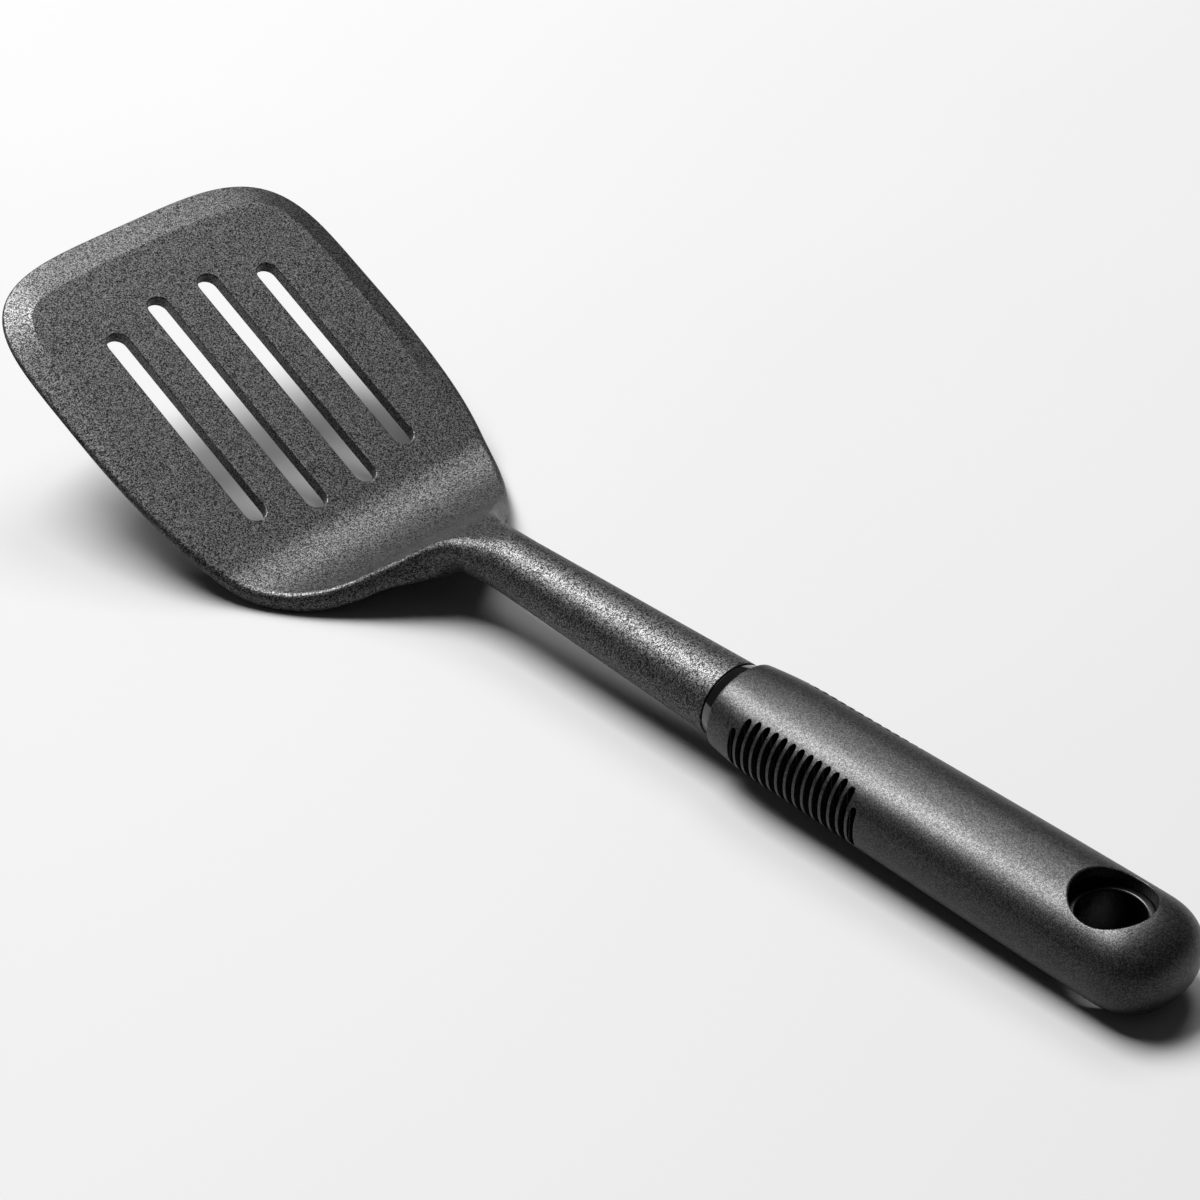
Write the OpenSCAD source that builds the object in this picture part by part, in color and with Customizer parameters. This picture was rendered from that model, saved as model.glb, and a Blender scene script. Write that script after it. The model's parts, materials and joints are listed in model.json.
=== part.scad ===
// Grill spatula: a slotted moulded head whose blade curves up into a round shank,
// a collar, and a soft grip with finned sides moulded round a rigid core.
//
// Blade frame: x from the tip edge along the blade, y across it, z up from the flat top face.
// Handle frame: x along the handle's axis away from the blade, z off the top of the handle.
// The head is laid out flat, as distance along the blade, offset across it and height off the
// middle of its thickness, and is then bent along the spine.

/* [Blade] */
// Greatest half width of the blade
half_w = 45; // [43:0.5:47]
// Length of the rounded tip, from the tip edge to the greatest width
tip_len = 40; // [36:1:44]
// Thickness of the plate
plate_t = 3.3; // [3:0.1:3.6]
// Thickness that the bevel takes off at the tip edge
bevel_drop = 2.3; // [1.6:0.1:2.4]
// Width of the bevel at the tip
bevel_w = 8.2; // [7:0.2:9]
// Width of the bevel along the sides
bevel_side_w = 6.2; // [5:0.2:7]

/* [Slots] */
// Width of a slot
slot_w = 5.5; // [5:0.1:6]
// Distance between the slots' centre lines
slot_pitch = 14.7; // [13.5:0.1:15]
// Start of the inner pair, from the tip edge
slot_start = 21.9; // [20:0.1:24]
// End of the inner pair, from the tip edge
slot_end = 87; // [80:0.5:88]
// How much shorter the outer pair is at each end
slot_inset = 4; // [2:0.5:6]

/* [Neck] */
// Where the blade starts to curve up, from the tip edge
fold_x = 89.5; // [88:0.5:92]
// Radius of that curve, on the middle of the thickness
fold_r = 26; // [24:0.5:28]
// Steepest angle of the back wall to the blade
wall_ang = 65; // [60:1:68]
// Length of the back wall, from the end of the curve to the handle's axis
wall_len = 14.2; // [13:0.1:15]
// Angle of the handle to the blade
crank = 26.5; // [24:0.5:29]
// Radius of the bend from the wall into the shank
neck_r = 14; // [12:0.5:16]

/* [Shank] */
// Half width of the shank at the neck
shank_w0 = 7.1; // [6.8:0.1:7.5]
// Half width of the shank at the collar
shank_w1 = 9.2; // [9:0.1:9.5]
// Height of the shank over its width
shank_flat = 0.88; // [0.84:0.01:0.94]
// Distance from the neck corner to the collar
shank_end = 81.2; // [76:0.2:86]

/* [Grip] */
// Length of the collar
collar_len = 3; // [2.6:0.1:4]
// How far the collar is set in from the shank and from the grip
collar_in = 0.3; // [0.1:0.1:0.6]
// Length of the grip
grip_len = 114.4; // [112:0.2:118]
// Half width of the grip at its front edge
grip_w0 = 10.4; // [10.1:0.1:10.7]
// Half width of the grip behind its front flare
grip_w1 = 12.1; // [11.8:0.1:12.5]
// Half width of the grip at the hanging hole
grip_w2 = 13.4; // [13.2:0.1:13.9]
// Half height of the grip at its front edge
grip_h0 = 8.9; // [8.8:0.1:9.2]
// Half height of the grip behind its front flare
grip_h1 = 9.4; // [9.2:0.1:9.7]
// Half height of the grip at the hanging hole
grip_h2 = 10.3; // [10.1:0.1:10.7]
// Length of the rounded end
cap_len = 13; // [11:0.5:15]
// Thickness of the soft sleeve round the core
sleeve_t = 2.4; // [2.2:0.1:2.6]

/* [Fins] */
// Number of grooves on each side
groove_count = 15; // [11:1:15]
// Distance from one groove to the next
groove_pitch = 2.4; // [2.2:0.1:2.5]
// Width of a groove
groove_w = 1.5; // [1.2:0.1:1.5]
// Half height of the longest grooves
groove_half = 7.6; // [6.4:0.2:7.8]

/* [Hanging hole] */
// Radius of the hole in the grip
eye_r = 8.45; // [8:0.05:8.8]
// Radius of the hole in the bush
bush_r = 6.8; // [6.2:0.1:7]
// Distance from the hole's centre to the end of the grip
eye_back = 17.8; // [17:0.2:19.6]
// Depth of the bush below the top of the grip
bush_depth = 4.8; // [4:0.1:5.4]

/* [Core] */
// Half width of the tang
tang_w = 5; // [4.5:0.1:5.4]
// Half height of the tang
tang_h = 3.4; // [3:0.1:4]
// How far the tang reaches behind the collar
tang_len = 62; // [52:1:66]
// Radius of a tang pin
pin_r = 1.5; // [1.2:0.1:1.8]
// Clearance round the spigot, the tang, the pins and the bush
fit_gap = 0.05; // [0.03:0.01:0.1]

/* [Hidden] */

// Half width of the flat outline behind the rounded tip, by distance from the tip
side_line = [[tip_len, half_w], [60, half_w - 0.4], [78, half_w - 2.3], [92, half_w - 5.7],
             [101, 35.5], [110, 29.5], [122, 18.7], [130, 11.7], [136, 8.4], [142, 7.4],
             [150, shank_w0]];
// Where the neck's section starts to thicken and where it is fully the shank's
neck_top = [128, 150];
neck_bottom = [120, 141];
heel_zone = [82, 104];     // where the underside thickens below the heel
heel_t = 3.1;              // thickness below the middle after that
side_zone = [60, 100];     // where the rim changes from the sides' to the neck's
bevel_fade = [20, 100];    // where the bevel loses its depth
neck_band = 4.6;           // width of the bevel's band at the neck
rim_top = [0.5, 1.3, 2];   // rounding of the upper rim at the tip, sides and neck
rim_bottom = [0.45, 1.2, 1.6];
tip_power = 4;             // power of the rounded tip's superellipse
mid_z = -plate_t / 2;
tube_start = side_line[len(side_line) - 1][0];

// Spine: flat, curve up, straight wall, bend over, straight shank
fold_end = fold_x + fold_r * wall_ang * PI / 180;
fold_top = [fold_x + fold_r * sin(wall_ang), mid_z + fold_r * (1 - cos(wall_ang))];
corner = fold_top + wall_len * [cos(wall_ang), sin(wall_ang)];
bend_run = neck_r * tan((wall_ang - crank) / 2);
wall_top = corner - bend_run * [cos(wall_ang), sin(wall_ang)];
wall_end = fold_end + wall_len - bend_run;
bend_end = wall_end + neck_r * (wall_ang - crank) * PI / 180;
spine_end = bend_end + shank_end - bend_run;

// Handle frame distances
collar_end = shank_end + collar_len;
grip_end = collar_end + grip_len;
eye_x = grip_end - eye_back;
groove_x0 = collar_end + 8;
groove_y = 5.2;            // how near the middle a groove reaches
groove_end = 0.62;         // height of the first and last grooves over the longest
flare_len = 16;            // length of the flare at the grip's front
grip_power = 2.25;         // power of the grip section's superellipse
cap_power = 2.4;           // power of the rounded end's superellipse
cap_turn = 88;             // last angle of the rounded end, which leaves a small flat
core_back = 4.5;           // soft material behind the core's end
spigot_r = 5.4;            // round root of the tang, inside the collar
spigot_len = 9;
spigot_root = 1.5;         // how far the spigot starts inside the shank
pocket_x0 = groove_x0 - 2; // start of the core's side pockets
pocket_wall = 2;           // core left between the tang and a side pocket
pin_xs = [collar_end + 18, collar_end + 46];

// Station counts along the head, and points round a grip section
tip_steps = 14;
side_steps = 9;
fold_steps = 12;
neck_steps = 14;
shank_steps = 4;
cells = 5;                 // cells from a bevel's inner edge to the centre line
grip_points = 40;
collar_points = 72;
flare_steps = 6;
grip_stations = 16;
cap_steps = 8;

head_color = [0.13, 0.13, 0.135];
collar_color = [0.02, 0.02, 0.02];
core_color = [0.2, 0.2, 0.21];
grip_color = [0.16, 0.16, 0.165];
pin_color = [0.6, 0.6, 0.62];

// ---- General functions ----
function smooth(t) = let (u = min(1, max(0, t))) u * u * (3 - 2 * u);
function ramp(x, a, b) = smooth((x - a) / (b - a));
function zone(x, z) = ramp(x, z[0], z[1]);
function mix(a, b, t) = a + (b - a) * t;
function ease_out(t) = let (u = min(1, max(0, 1 - t))) 1 - u * u;
// Quarter round: 0 at the rim (d = 0), 1 from the distance r inwards
function round_in(d, r) = let (u = min(1, max(0, 1 - d / r))) sqrt(1 - u * u);

// Smooth curve through a list of [x, y] points
function slope(tab, i) = i == 0 || i == len(tab) - 1 ? 0
    : (tab[i + 1][1] - tab[i - 1][1]) / (tab[i + 1][0] - tab[i - 1][0]);
function curve_at(tab, x) = let (
    i = max([for (k = [0:len(tab) - 2]) tab[k][0] <= x ? k : 0]),
    span = tab[i + 1][0] - tab[i][0],
    t = min(1, max(0, (x - tab[i][0]) / span)))
    (2 * t ^ 3 - 3 * t ^ 2 + 1) * tab[i][1] + (t ^ 3 - 2 * t ^ 2 + t) * span * slope(tab, i)
    + (3 * t ^ 2 - 2 * t ^ 3) * tab[i + 1][1] + (t ^ 3 - t ^ 2) * span * slope(tab, i + 1);

// ---- Spine of the head ----
// [x, z, angle] on the middle of the thickness, at distance s from the tip
function spine(s) =
    s <= fold_x ? [s, mid_z, 0]
    : s <= fold_end ? let (a = (s - fold_x) / fold_r * 180 / PI)
        [fold_x + fold_r * sin(a), mid_z + fold_r * (1 - cos(a)), a]
    : s <= wall_end ? let (p = fold_top + (s - fold_end) * [cos(wall_ang), sin(wall_ang)])
        [p.x, p.y, wall_ang]
    : s <= bend_end ? let (a = wall_ang - (s - wall_end) / neck_r * 180 / PI)
        [wall_top.x + neck_r * (sin(wall_ang) - sin(a)),
         wall_top.y + neck_r * (cos(a) - cos(wall_ang)), a]
    : let (p = corner + (s - bend_end + bend_run) * [cos(crank), sin(crank)])
        [p.x, p.y, crank];
// A flat-layout point [s, y, height] bent into the blade frame
function bent(p) = let (c = spine(p.x)) [c.x - p.z * sin(c.z), p.y, c.y + p.z * cos(c.z)];

// ---- Head section, by distance from the tip ----
function half_width(s) = s < tube_start ? curve_at(side_line, s)
    : mix(shank_w0, shank_w1, (s - tube_start) / (spine_end - tube_start));
function shank_h(s) = shank_flat * half_width(s);
function top_h(s) = mix(plate_t / 2, shank_h(s), zone(s, neck_top));
function bottom_h(s) = mix(mix(plate_t / 2, heel_t, zone(s, heel_zone)), shank_h(s),
                           zone(s, neck_bottom));
// Extent of the edge rounding, which grows to the whole half width of the shank
function rim(r, s) = mix(mix(r[0], r[1], ramp(s, 0, side_zone[0])), r[2], zone(s, side_zone));
function top_round(s) = mix(rim(rim_top, s), half_width(s), zone(s, neck_top));
function bottom_round(s) = mix(rim(rim_bottom, s), half_width(s), zone(s, neck_bottom));
function drop_at(s) = bevel_drop * (1 - zone(s, bevel_fade));
function band_at(s, y) = s < tip_len ? mix(bevel_w, bevel_side_w, ramp(y, half_w / 2, half_w))
                                     : mix(bevel_side_w, neck_band, zone(s, side_zone));

// ---- Outline stations [s, y] of one side, from the tip's middle to the shank's end ----
function steps(a, b, n) = [for (i = [0:n - 1]) mix(a, b, i / n)];
tip_stations = [for (i = [0:tip_steps - 1])
    let (a = 90 * i / tip_steps, r = (cos(a) ^ tip_power + sin(a) ^ tip_power) ^ (-1 / tip_power))
    [tip_len * (1 - r * cos(a)), half_w * r * sin(a)]];
straight_stations = [for (s = concat(steps(tip_len, fold_x, side_steps),
                                     steps(fold_x, fold_end, fold_steps),
                                     steps(fold_end, tube_start, neck_steps),
                                     steps(tube_start, spine_end, shank_steps), [spine_end]))
    [s, half_width(s)]];
stations = concat(tip_stations, straight_stations);
last = len(stations) - 1;
// Inward direction at a station, turned square across the blade towards the neck
function inward(i) = i == 0 ? [1, 0] : let (
    d = i == last ? [1, 0] : stations[i + 1] - stations[i - 1],
    n = [d.y, -d.x] / norm(d),
    v = mix(n, [0, -1], zone(stations[i].x, side_zone))) v / norm(v);

// ---- Rings round the rim: [share of the bevel, edge angle, shank angle, side] ----
rings = concat(
    [for (f = [[1, 64], [0.7, 52], [0.4, 41], [0.15, 31]]) [f[0], 90, f[1], 1]],
    [for (a = [90, 60, 30, 0]) [0, a, a / 4, 1]],
    [for (a = [30, 60, 90]) [0, a, a / 4, -1]],
    [for (f = [[0.5, 45], [1, 64]]) [f[0], 90, f[1], -1]]);
// Inset of a ring from the outline: rim rounding, then bevel, blending to the shank's angles
function inset(ring, s, y) = let (
    r = ring[3] > 0 ? top_round(s) : bottom_round(s),
    flat = mix(r * (1 - cos(ring[1])), band_at(s, y), ring[0]))
    mix(flat, half_width(s) * (1 - cos(ring[2])), ramp(s, neck_bottom[0], tube_start));
// Height of the top (side 1) or bottom (side -1) face at an inset d from the outline
function face_h(s, y, d, side) = let (
    top = top_h(s) - drop_at(s) * max(0, 1 - d / band_at(s, y)),
    bottom = -bottom_h(s),
    middle = (top + bottom) / 2 * (1 - zone(s, heel_zone)))
    side > 0 ? middle + (top - middle) * round_in(d, top_round(s))
             : middle + (bottom - middle) * round_in(d, bottom_round(s));
function ring_point(i, k) = let (s = stations[i].x, y = stations[i].y, d = inset(rings[k], s, y),
                                 p = stations[i] + inward(i) * d)
    [p.x, p.y, face_h(s, y, d, rings[k][3])];
function row_point(i, k, j) = let (p = ring_point(i, k), s = stations[i].x,
                                   y = p.y * (1 - j / cells))
    [p.x, y, p.z == 0 ? 0 : rings[k][3] > 0
        ? top_h(s) * round_in(max(stations[i].y - y, 0), top_round(s))
        : -bottom_h(s) * round_in(max(stations[i].y - y, 0), bottom_round(s))];
function flipped(p, side) = [p.x, side * p.y, p.z];

// Points: the rings from the near end round the tip to the far end, then the inner rows
ring_n = len(rings);
ring_points = [for (a = [-last:last], k = [0:ring_n - 1])
    flipped(bent(ring_point(abs(a), k)), a < 0 ? -1 : a == 0 ? 0 : 1)];
function row_points(k) = [for (i = [1:last], j = [1:2 * cells - 1])
    let (q = j <= cells ? j : 2 * cells - j)
    flipped(bent(row_point(i, k, q)), j < cells ? -1 : j == cells ? 0 : 1)];
head_points = concat(ring_points, row_points(0), row_points(ring_n - 1));
row_n = 2 * cells - 1;
function ring_at(a, k) = (a + last) * ring_n + k;
function row_at(face, i, j) = j == 0 ? ring_at(-i, face * (ring_n - 1))
    : j == 2 * cells ? ring_at(i, face * (ring_n - 1))
    : len(ring_points) + face * last * row_n + (i - 1) * row_n + j - 1;
function turned(f) = [for (i = [len(f) - 1:-1:0]) f[i]];
function quad(a, b, c, d) = [[a, b, c], [a, c, d]];
head_faces = concat(
    [for (a = [-last:last - 1], k = [0:ring_n - 2])
        each quad(ring_at(a, k), ring_at(a, k + 1), ring_at(a + 1, k + 1), ring_at(a + 1, k))],
    [for (j = [0:2 * cells - 1]) [row_at(0, 1, j), ring_at(0, 0), row_at(0, 1, j + 1)]],
    [for (j = [0:2 * cells - 1])
        [ring_at(0, ring_n - 1), row_at(1, 1, j), row_at(1, 1, j + 1)]],
    [for (i = [1:last - 1], j = [0:2 * cells - 1])
        each quad(row_at(0, i, j), row_at(0, i, j + 1), row_at(0, i + 1, j + 1),
                  row_at(0, i + 1, j))],
    [for (i = [1:last - 1], j = [0:2 * cells - 1])
        each quad(row_at(1, i, j), row_at(1, i + 1, j), row_at(1, i + 1, j + 1),
                  row_at(1, i, j + 1))],
    [concat([for (j = [0:2 * cells]) row_at(0, last, j)],
            [for (k = [1:ring_n - 2]) ring_at(last, k)],
            [for (j = [2 * cells:-1:0]) row_at(1, last, j)],
            [for (k = [ring_n - 2:-1:1]) ring_at(-last, k)])]);

// ---- Grip section, by distance along the handle ----
// A size that flares from a to b at the front and grows on to c at the hanging hole
function grown(x, a, b, c) = mix(a, b, ease_out((x - collar_end) / flare_len))
    + (c - b) * ramp(x, collar_end, eye_x + eye_r);
function grip_w(x) = grown(x, grip_w0, grip_w1, grip_w2);
function grip_h(x) = grown(x, grip_h0, grip_h1, grip_h2);
// Rounding of the end: 1 along the grip, 0 at its last point
function cap(x, end) = let (u = min(1, max(0, (x - end + cap_len) / cap_len)))
    (1 - u ^ cap_power) ^ (1 / cap_power);
function grip_xs(lead, end) = concat(lead > 0 ? [collar_end - lead] : [],
    steps(collar_end, collar_end + flare_len, flare_steps),
    steps(collar_end + flare_len, end - cap_len, grip_stations),
    [for (i = [0:cap_steps]) end - cap_len + cap_len * sin(cap_turn * i / cap_steps)]);
// One section at x, a superellipse set in by t
function grip_section(x, end, t) = [for (i = [0:grip_points - 1])
    let (a = 360 * i / grip_points, n = grip_power, c = cap(x, end),
         r = (abs(cos(a)) ^ n + abs(sin(a)) ^ n) ^ (-1 / n))
    [x, (grip_w(x) - t) * c * r * cos(a), (grip_h(x) - t) * c * r * sin(a)]];
// All sections set in by t, with one more at a distance lead in front of the grip
function grip_shape(lead, end, t) = [for (x = grip_xs(lead, end)) each grip_section(x, end, t)];
function oval(x, w, h) = [for (i = [0:collar_points - 1])
    let (a = 360 * i / collar_points) [x, w * cos(a), h * sin(a)]];
module lofted(points, n) {
    m = len(points) / n;
    polyhedron(points, concat(
        [[for (i = [0:n - 1]) i]],
        [for (s = [0:m - 2], i = [0:n - 1]) let (j = (i + 1) % n)
            each quad((s + 1) * n + i, (s + 1) * n + j, s * n + j, s * n + i)],
        [[for (i = [n - 1:-1:0]) (m - 1) * n + i]]));
}

// ---- Rest pose: the heel of the blade and the end of the grip both touch the ground ----
function to_blade(p) = [corner.x + p.x * cos(crank) - p.z * sin(crank), p.y,
                        corner.y + p.x * sin(crank) + p.z * cos(crank)];
// The lower rim of the hanging hole, which can be what the grip rests on
rim_points = [for (a = [0:10:350]) let (
    x = eye_x + eye_r * cos(a), c = cap(x, grip_end), y = eye_r * sin(a))
    [x, y, -c * grip_h(x) * (1 - (abs(y) / c / grip_w(x)) ^ grip_power) ^ (1 / grip_power)]];
outer_points = [for (p = concat(grip_shape(0, grip_end, 0), rim_points))
    if (norm([p.x - eye_x, p.y]) > eye_r - fit_gap) to_blade(p)];
function lowest(points, tilt) = min([for (p = points) p.z * cos(tilt) - p.x * sin(tilt)]);
function level(a, b, n) = let (m = (a + b) / 2) n == 0 ? m
    : lowest(head_points, m) > lowest(outer_points, m) ? level(a, m, n - 1)
    : level(m, b, n - 1);
rest_tilt = level(20, 35, 14);
along = [for (p = concat(head_points, outer_points)) p.x * cos(rest_tilt) + p.z * sin(rest_tilt)];
rest_shift = [-(min(along) + max(along)) / 2, 0, -lowest(head_points, rest_tilt)];

module in_blade() translate(rest_shift) rotate([0, rest_tilt, 0]) children();
module on_crank() translate([corner.x, 0, corner.y]) rotate([0, -crank, 0]) children();
module in_handle() in_blade() on_crank() children();

// ---- Shared cutters and profiles ----
module slot(start, end, y) {
    r = slot_w / 2;
    translate([0, y, -plate_t - 1]) linear_extrude(plate_t + 2) {
        translate([start + r, -r]) square([end - start - slot_w, slot_w]);
        for (x = [start + r, end - r]) translate([x, 0]) circle(r, $fn = 48);
    }
}
module along_x(r, from, length) translate([from, 0, 0]) rotate([0, 90, 0])
    cylinder(r = r, h = length, $fn = 48);
module tang_bar(gap, length) translate([collar_end, -tang_w - gap, -tang_h - gap])
    cube([length, 2 * (tang_w + gap), 2 * (tang_h + gap)]);
module pins(r, half) for (x = pin_xs)
    translate([x, 0, -half]) cylinder(r = r, h = 2 * half, $fn = 32);
module eye(r, half) translate([eye_x, 0, -half]) cylinder(r = r, h = 2 * half, $fn = 96);
// Slot-shaped cutter for one groove, reaching in from the side
module groove(x, half, side) {
    r = groove_w / 2;
    translate([x, side * groove_y, 0]) rotate([-side * 90, 0, 0]) linear_extrude(2 * grip_w2) {
        translate([-r, r - half]) square([groove_w, 2 * (half - r)]);
        for (z = [r - half, half - r]) translate([0, z]) circle(r, $fn = 32);
    }
}
// Grooves shorten towards both ends of the row
function groove_h(i) = let (u = abs(2 * i / (groove_count - 1) - 1))
    groove_half * mix(groove_end, 1, sqrt(1 - u ^ 8));

// ---- Sub-parts ----
module head_moulding() color(head_color) in_blade() difference() {
    union() {
        polyhedron(head_points, head_faces);
        on_crank() {
            along_x(spigot_r, shank_end - spigot_root, spigot_len);
            tang_bar(0, tang_len);
        }
    }
    for (side = [-1, 1]) {
        slot(slot_start, slot_end, side * slot_pitch / 2);
        slot(slot_start + slot_inset, slot_end - slot_inset, side * slot_pitch * 1.5);
    }
    on_crank() pins(pin_r + fit_gap, grip_h2);
}
module collar_ring() color(collar_color) in_handle() difference() {
    lofted(concat(oval(shank_end, shank_w1 - collar_in, shank_h(spine_end) - collar_in),
                  oval(collar_end, grip_w0 - collar_in, grip_h0 - collar_in)), collar_points);
    along_x(spigot_r + fit_gap, shank_end - 1, collar_len + 2);
}
module handle_core() color(core_color) in_handle() difference() {
    lofted(grip_shape(0, grip_end - core_back, sleeve_t), grip_points);
    along_x(spigot_r + fit_gap, collar_end - 1, spigot_len - collar_len);
    tang_bar(fit_gap, tang_len + 0.5);
    pins(pin_r + fit_gap, grip_h2);
    eye(eye_r, grip_h2);
    for (side = [0, 180]) rotate([side, 0, 0])
        translate([pocket_x0, tang_w + pocket_wall, -groove_half])
            cube([groove_count * groove_pitch + 2, grip_w2, 2 * groove_half]);
}
module tang_pins() color(pin_color) in_handle() pins(pin_r, grip_h0 - sleeve_t);
module grip_sleeve() color(grip_color) in_handle() difference() {
    lofted(grip_shape(0, grip_end, 0), grip_points);
    lofted(grip_shape(1, grip_end - core_back, sleeve_t), grip_points);
    eye(eye_r, 2 * grip_h2);
    for (i = [0:groove_count - 1], side = [-1, 1])
        groove(groove_x0 + i * groove_pitch, groove_h(i), side);
}
module hang_eye_bush() color(collar_color) in_handle() difference() {
    eye(eye_r - fit_gap, grip_h2 - bush_depth);
    eye(bush_r, grip_h2);
}

head_moulding();
collar_ring();
handle_core();
tang_pins();
grip_sleeve();
hang_eye_bush();
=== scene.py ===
import json
import math

import bmesh
import bpy
import numpy as np
from mathutils import Matrix, Vector


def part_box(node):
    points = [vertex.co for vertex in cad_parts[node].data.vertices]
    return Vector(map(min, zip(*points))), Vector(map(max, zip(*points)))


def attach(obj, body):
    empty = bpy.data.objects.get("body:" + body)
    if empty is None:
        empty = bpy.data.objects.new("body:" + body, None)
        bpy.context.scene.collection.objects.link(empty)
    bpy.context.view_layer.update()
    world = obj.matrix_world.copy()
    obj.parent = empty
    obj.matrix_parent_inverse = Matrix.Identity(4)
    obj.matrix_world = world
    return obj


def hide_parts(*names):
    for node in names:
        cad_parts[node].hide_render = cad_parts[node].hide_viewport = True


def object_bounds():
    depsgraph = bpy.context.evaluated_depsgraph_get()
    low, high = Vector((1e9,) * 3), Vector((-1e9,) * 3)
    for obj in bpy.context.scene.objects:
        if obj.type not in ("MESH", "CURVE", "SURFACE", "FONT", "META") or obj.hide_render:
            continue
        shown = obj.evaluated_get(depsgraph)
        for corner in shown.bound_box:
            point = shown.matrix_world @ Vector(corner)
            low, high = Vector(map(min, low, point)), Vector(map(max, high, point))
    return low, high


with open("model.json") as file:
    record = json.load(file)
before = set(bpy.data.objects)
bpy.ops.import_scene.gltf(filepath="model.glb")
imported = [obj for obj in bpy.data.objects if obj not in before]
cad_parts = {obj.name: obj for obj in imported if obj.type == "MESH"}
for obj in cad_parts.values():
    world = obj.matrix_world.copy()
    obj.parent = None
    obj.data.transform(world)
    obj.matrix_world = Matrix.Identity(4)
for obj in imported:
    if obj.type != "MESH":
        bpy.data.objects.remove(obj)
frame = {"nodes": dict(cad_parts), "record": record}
cad_low, cad_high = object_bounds()
MM = 0.001

# Grill spatula: the looks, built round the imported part.
#
# The head, the collar, the grip and the eye bush are fine meshes of the same shapes as their CAD
# nodes, with small edge rounds added. The hidden core and its pins stay as they are and get a
# material.
#
# Lengths in the shape functions are millimetres. Blade frame: x from the tip edge along the blade,
# y across it, z up from the flat top face. Handle frame: x along the handle away from the blade,
# y across it, z up, on the handle's middle line.

# ---- The design's driving sizes, as in the part: millimetres and radians ----
# Blade outline: half width, length of the rounded tip, and the power of its superellipse
HALF_W = 45.0
TIP_LEN = 40.0
TIP_POWER = 4.0
# Plate thickness, and the height of its middle
PLATE_T = 3.3
MID_Z = -PLATE_T / 2
# Bevel: drop at the rim, width at the tip and at the sides, and width of the band near the neck
BEVEL_DROP = 2.3
BEVEL_W = 8.2
BEVEL_SIDE_W = 6.2
NECK_BAND = 4.6
# Slots: width, pitch, the inner pair's ends, and how much shorter the outer pair is at each end
SLOT_W = 5.5
SLOT_PITCH = 14.7
SLOT_START = 21.9
SLOT_END = 87.0
SLOT_INSET = 4.0
# Fold at the blade's base, the wall that rises from it, and the bend into the shank
FOLD_X = 89.5
FOLD_R = 26.0
WALL_ANG = math.radians(65)
WALL_LEN = 14.2
CRANK = math.radians(26.5)
NECK_R = 14.0
# Shank: half widths at its start and end, height over width, and length from the bend's corner
SHANK_W0 = 7.1
SHANK_W1 = 9.2
SHANK_FLAT = 0.88
SHANK_END = 81.2
# Collar: length, and how far it is set in from its neighbours
COLLAR_LEN = 3.0
COLLAR_IN = 0.3
# Grip: length, and half widths and half heights at the front, after the flare and at the eye
GRIP_LEN = 114.4
GRIP_W = (10.4, 12.1, 13.4)
GRIP_H = (8.9, 9.4, 10.3)
GRIP_POWER = 2.25
FLARE_LEN = 16.0
# Rounded end of the grip, how far round it goes, and the sleeve's thickness over the core
CAP_LEN = 13.0
CAP_POWER = 2.4
CAP_TURN = math.radians(88)
SLEEVE_T = 2.4
CORE_BACK = 4.5
# Grooves: count, pitch, width, half length, the end ones' share of it, the power that rounds
# the row's outline, the first one's distance from the collar, and how near the middle they reach
GROOVE_COUNT = 15
GROOVE_PITCH = 2.4
GROOVE_W = 1.5
GROOVE_HALF = 7.6
GROOVE_END = 0.62
GROOVE_POWER = 8
GROOVE_START = 8.0
GROOVE_Y = 5.2
# Hanging eye: radius of the grip's hole, the bush in it, and where both lie
EYE_R = 8.45
EYE_BACK = 17.8
BUSH_R = 6.8
BUSH_DEPTH = 4.8
# Tang: half sizes and length, with the round spigot at its root
TANG_W = 5.0
TANG_H = 3.4
TANG_LEN = 62.0
SPIGOT_R = 5.4
SPIGOT_LEN = 9.0
SPIGOT_ROOT = 1.5
# Cross pins: radius, and their distances from the collar
PIN_R = 1.5
PIN_PLACES = (18, 46)
FIT_GAP = 0.05
# Stretches, by distance from the tip, over which one section turns into the next
NECK_TOP = (128, 150)
NECK_BOTTOM = (120, 141)
HEEL_ZONE = (82, 104)
SIDE_ZONE = (60, 100)
BEVEL_FADE = (20, 100)
# How far below the middle the thick heel under the fold reaches
HEEL_T = 3.1
# Rounding of the upper and the lower rim, each at the tip, the sides and the neck
RIM_TOP = (0.5, 1.3, 2.0)
RIM_BOTTOM = (0.45, 1.2, 1.6)
# Outline of the blade's side: (distance from the tip, half width)
SIDE_LINE = [(TIP_LEN, HALF_W), (60, HALF_W - 0.4), (78, HALF_W - 2.3), (92, HALF_W - 5.7),
             (101, 35.5), (110, 29.5), (122, 18.7), (130, 11.7), (136, 8.4), (142, 7.4),
             (150, SHANK_W0)]

# Small edge rounds of the visible meshes
SHANK_END_ROUND = 0.22
SLOT_ROUND = 0.32
GROOVE_ROUND = 0.09
EYE_ROUND = 0.45
GRIP_FRONT_ROUND = 0.35
COLLAR_ROUND = 0.18
BUSH_TOP_ROUND = 0.5
BUSH_SIDE_ROUND = 0.15
TANG_CORNER = 0.6
# How far the cutters reach: past the grip's surface, past the blade's faces, and from the
# tang's middle
GRIP_OVERCUT = 3.0
SLOT_OVERCUT = 1.0
PIN_HOLE_REACH = 12.0

COLLAR_END = SHANK_END + COLLAR_LEN
GRIP_END = COLLAR_END + GRIP_LEN
EYE_X = GRIP_END - EYE_BACK
GROOVE_X0 = COLLAR_END + GROOVE_START
PIN_XS = [COLLAR_END + place for place in PIN_PLACES]
TUBE_START = SIDE_LINE[-1][0]


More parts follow.
